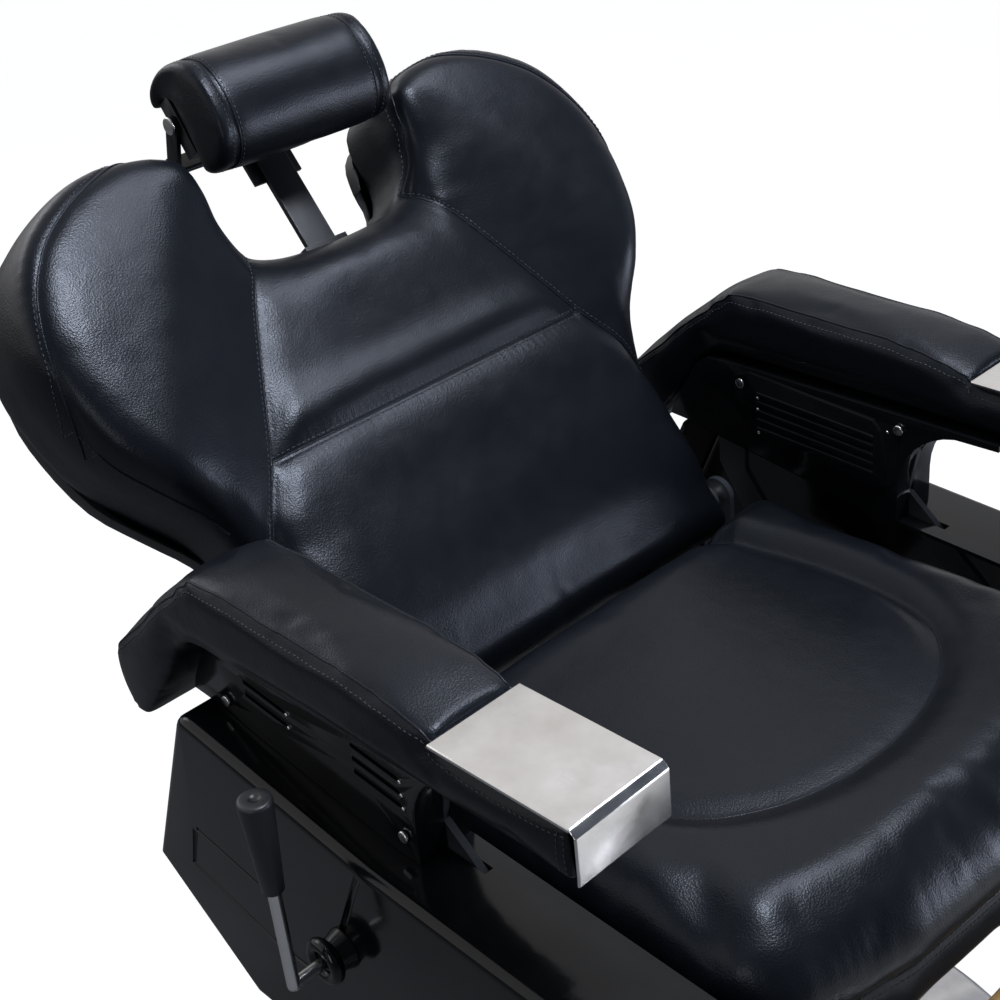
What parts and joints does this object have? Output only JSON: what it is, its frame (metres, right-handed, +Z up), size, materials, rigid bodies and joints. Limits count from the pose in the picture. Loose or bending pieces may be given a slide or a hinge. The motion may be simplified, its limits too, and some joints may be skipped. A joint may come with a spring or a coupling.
{
  "type": "hydraulic barber chair",
  "caption": "Hydraulic barber chair: padded seat, reclining lobed back with tilting headrest, padded arms with bright end plates, linked leg rest, swivel column on a round floor plate.",
  "frame": {"origin": "on the floor, on the column's axis, at the bottom face of the pump", "axes": "+Z up along the column; -Y the way the sitter faces; +X the sitter's left. The column is at its lowest and the back is drawn 39 degrees from vertical"},
  "size_m": [0.754, 1.0712, 1.0262],
  "materials": {
    "chrome_plate": "polished",
    "rubber_black": "matte",
    "painted_steel": "satin",
    "bright_steel": "satin",
    "bronze": "satin",
    "plywood": "matte",
    "black_leather": "satin",
    "gloss_black_moulding": "gloss",
    "satin_black_moulding": "satin"
  },
  "bodies": {
    "base": {"floor_plate": "chrome_plate", "floor_gasket": "rubber_black", "pump_unit": "painted_steel", "pump_casing": "chrome_plate", "pump_bolts": "bright_steel", "guide_bush": "bronze", "wiper_ring": "rubber_black", "pedal_bracket": "painted_steel", "pedal_pin": "chrome_plate"},
    "pedal": {"pedal_lever": "chrome_plate", "pedal_tread": "rubber_black"},
    "column": {"column": "chrome_plate", "swivel_race": "bronze"},
    "seat": {"swivel_hub": "painted_steel", "swivel_plate": "painted_steel", "swivel_bolts": "chrome_plate", "frame_rails": "painted_steel", "frame_crossbars": "painted_steel", "seat_board": "plywood", "seat_cushion": "black_leather", "side_panel_right": "gloss_black_moulding", "side_panel_left": "gloss_black_moulding", "arm_core_right": "painted_steel", "arm_core_left": "painted_steel", "arm_inner_panel_right": "gloss_black_moulding", "arm_inner_panel_left": "gloss_black_moulding", "arm_outer_panel_right": "gloss_black_moulding", "arm_outer_panel_left": "gloss_black_moulding", "arm_pad_right": "black_leather", "arm_pad_left": "black_leather", "arm_plate_right": "chrome_plate", "arm_plate_left": "chrome_plate", "panel_screws": "chrome_plate", "recline_brackets": "painted_steel", "recline_shaft": "chrome_plate", "strut_cylinder": "painted_steel", "lever_collar": "gloss_black_moulding", "leg_brackets": "painted_steel"},
    "back": {"hinge_tube": "painted_steel", "back_cranks": "painted_steel", "back_board": "plywood", "back_cushion": "black_leather", "back_cover": "satin_black_moulding", "headrest_socket": "painted_steel", "clamp_knob": "satin_black_moulding"},
    "strut": {"strut_rod": "chrome_plate"},
    "headrest_slide": {"headrest_bar": "painted_steel", "headrest_yoke": "painted_steel"},
    "headrest": {"headrest_board": "satin_black_moulding", "headrest_pad": "black_leather", "headrest_screws": "chrome_plate"},
    "leg_rest": {"leg_hinge": "painted_steel", "leg_arms": "painted_steel", "calf_board": "plywood", "calf_pad": "black_leather", "foot_plate": "chrome_plate", "foot_tread": "rubber_black"},
    "links": {"link_rods": "painted_steel"},
    "lever": {"lever_rod": "chrome_plate", "lever_grip": "satin_black_moulding"}
  },
  "joints": [
    {"name": "pedal_press", "type": "hinge", "parent": "base", "child": "pedal", "pos_m": [0, 0.118, 0.072], "axis": [-1, 0, 0], "range_deg": [0, 14], "stiffness_Nm_per_rad": 6, "springref_deg": -28.65},
    {"name": "column_lift", "type": "slide", "parent": "base", "child": "column", "axis": [0, 0, 1], "range_m": [0, 0.16]},
    {"name": "seat_swivel", "type": "hinge", "parent": "column", "child": "seat", "pos_m": [0, 0, 0.404], "axis": [0, 0, 1], "continuous": true},
    {"name": "recline", "type": "hinge", "parent": "seat", "child": "back", "pos_m": [0, 0.199, 0.545], "axis": [-1, 0, 0], "range_deg": [-15, 40]},
    {"name": "strut_slide", "type": "slide", "parent": "seat", "child": "strut", "axis": [0, 1, 0], "range_m": [-0.056, 0.022]},
    {"name": "leg_raise", "type": "hinge", "parent": "seat", "child": "leg_rest", "pos_m": [0, -0.244, 0.438], "axis": [-1, 0, 0], "range_deg": [-15.5, 40.5]},
    {"name": "link_swing", "type": "hinge", "parent": "leg_rest", "child": "links", "pos_m": [0, -0.23015, 0.37552], "axis": [-1, 0, 0], "range_deg": [-40.5, 15.5]},
    {"name": "headrest_height", "type": "slide", "parent": "back", "child": "headrest_slide", "axis": [0, 0.6293, 0.7771], "range_m": [-0.005, 0.06]},
    {"name": "headrest_tilt", "type": "hinge", "parent": "headrest_slide", "child": "headrest", "pos_m": [0, 0.505, 0.962], "axis": [-1, 0, 0], "range_deg": [-10, 35]},
    {"name": "lever_pull", "type": "hinge", "parent": "seat", "child": "lever", "pos_m": [-0.3945, 0.07, 0.48], "axis": [-1, 0, 0], "range_deg": [0, 20], "stiffness_Nm_per_rad": 2, "springref_deg": -20.05}
  ],
  "couplings": [
    {"joint": "strut_slide", "follows": "recline", "m_per_rad": -0.078},
    {"joint": "leg_raise", "follows": "recline", "ratio": 1},
    {"joint": "link_swing", "follows": "recline", "ratio": -1}
  ]
}
